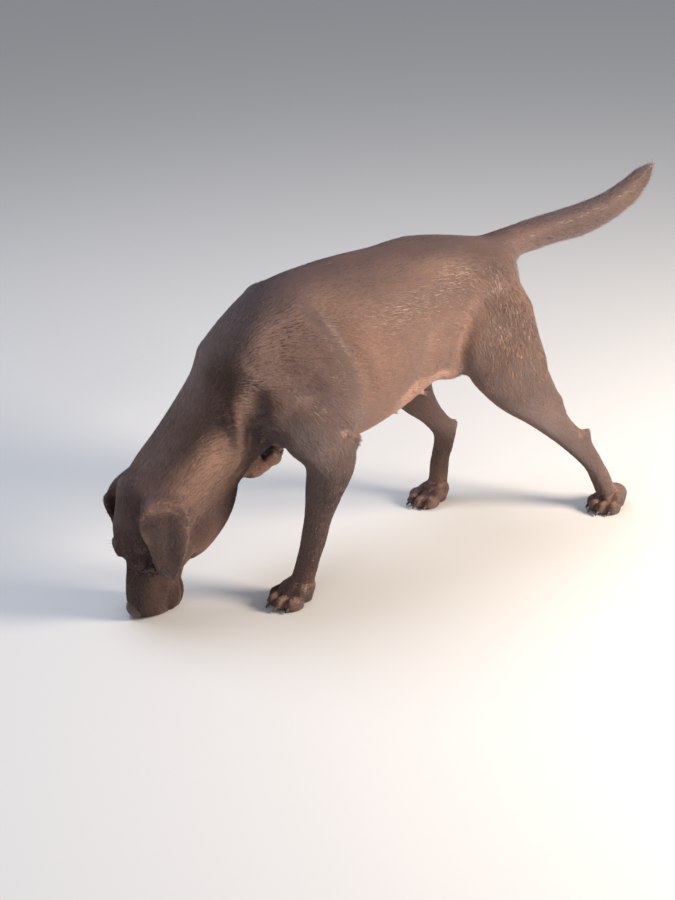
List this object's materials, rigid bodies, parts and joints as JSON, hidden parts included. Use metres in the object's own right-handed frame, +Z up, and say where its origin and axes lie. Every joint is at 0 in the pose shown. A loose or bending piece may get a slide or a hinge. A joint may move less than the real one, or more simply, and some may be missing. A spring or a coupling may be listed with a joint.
{
  "type": "dog",
  "caption": "Short-coated brown dog, life size, walking with its nose on the ground: a still model with one forepaw lifted and the tail held level.",
  "frame": {"origin": "middle of the bottom of the whole dog's box, on the floor", "axes": "+X towards the tail, so the head is at -X; +Y towards the dog's right side; +Z up"},
  "size_m": [1.0812, 0.2994, 0.5716],
  "materials": {
    "fur": "short dense glossy coat",
    "liver": "moist pebbled skin",
    "amber": "wet and glossy",
    "horn": "satin horn"
  },
  "bodies": {
    "root": {"head": "fur", "lower_jaw": "fur", "nose": "liver", "eye_left": "amber", "eye_right": "amber", "ear_left": "fur", "ear_right": "fur", "neck": "fur", "trunk": "fur", "tail": "fur", "forearm_left": "fur", "forearm_right": "fur", "forepaw_left": "fur", "forepaw_right": "fur", "thigh_left": "fur", "thigh_right": "fur", "shank_left": "fur", "shank_right": "fur", "hind_paw_left": "fur", "hind_paw_right": "fur", "claw_fore_left_1": "horn", "claw_fore_left_2": "horn", "claw_fore_left_3": "horn", "claw_fore_left_4": "horn", "claw_fore_right_1": "horn", "claw_fore_right_2": "horn", "claw_fore_right_3": "horn", "claw_fore_right_4": "horn", "claw_hind_left_1": "horn", "claw_hind_left_2": "horn", "claw_hind_left_3": "horn", "claw_hind_left_4": "horn", "claw_hind_right_1": "horn", "claw_hind_right_2": "horn", "claw_hind_right_3": "horn", "claw_hind_right_4": "horn"}
  },
  "joints": []
}
